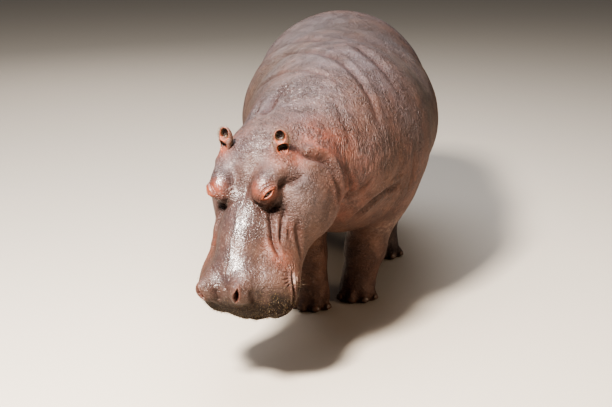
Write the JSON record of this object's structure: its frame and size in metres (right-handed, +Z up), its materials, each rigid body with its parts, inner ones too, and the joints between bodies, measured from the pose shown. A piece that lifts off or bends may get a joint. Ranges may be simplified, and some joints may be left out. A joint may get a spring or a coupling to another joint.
{
  "type": "hippopotamus",
  "caption": "Life-size still model of an adult common hippopotamus walking with its head lowered and its neck bent to its right.",
  "frame": {"origin": "on the floor, below the middle of the outline seen from above", "axes": "the hippopotamus faces -Y, +Z is up and +X is its left side"},
  "size_m": [1.2243, 3.3964, 1.4623],
  "materials": {
    "hide": "thick bare hide, grey-brown to mauve, pink about the eyes and ears, faintly moist",
    "horn": "dull dark horn",
    "cornea": "wet dark brown eye"
  },
  "bodies": {
    "root": {"shoulders": "hide", "barrel": "hide", "rump": "hide", "lower_jaw": "hide", "head": "hide", "neck": "hide", "eye_left": "cornea", "eye_right": "cornea", "ear_left": "hide", "ear_right": "hide", "fore_left_leg": "hide", "fore_left_nail_1": "horn", "fore_left_nail_2": "horn", "fore_left_nail_3": "horn", "fore_left_nail_4": "horn", "fore_left_foot": "hide", "fore_right_leg": "hide", "fore_right_nail_1": "horn", "fore_right_nail_2": "horn", "fore_right_nail_3": "horn", "fore_right_nail_4": "horn", "fore_right_foot": "hide", "hind_left_leg": "hide", "hind_left_nail_1": "horn", "hind_left_nail_2": "horn", "hind_left_nail_3": "horn", "hind_left_nail_4": "horn", "hind_left_foot": "hide", "hind_right_leg": "hide", "hind_right_nail_1": "horn", "hind_right_nail_2": "horn", "hind_right_nail_3": "horn", "hind_right_nail_4": "horn", "hind_right_foot": "hide", "tail": "hide"}
  },
  "joints": []
}
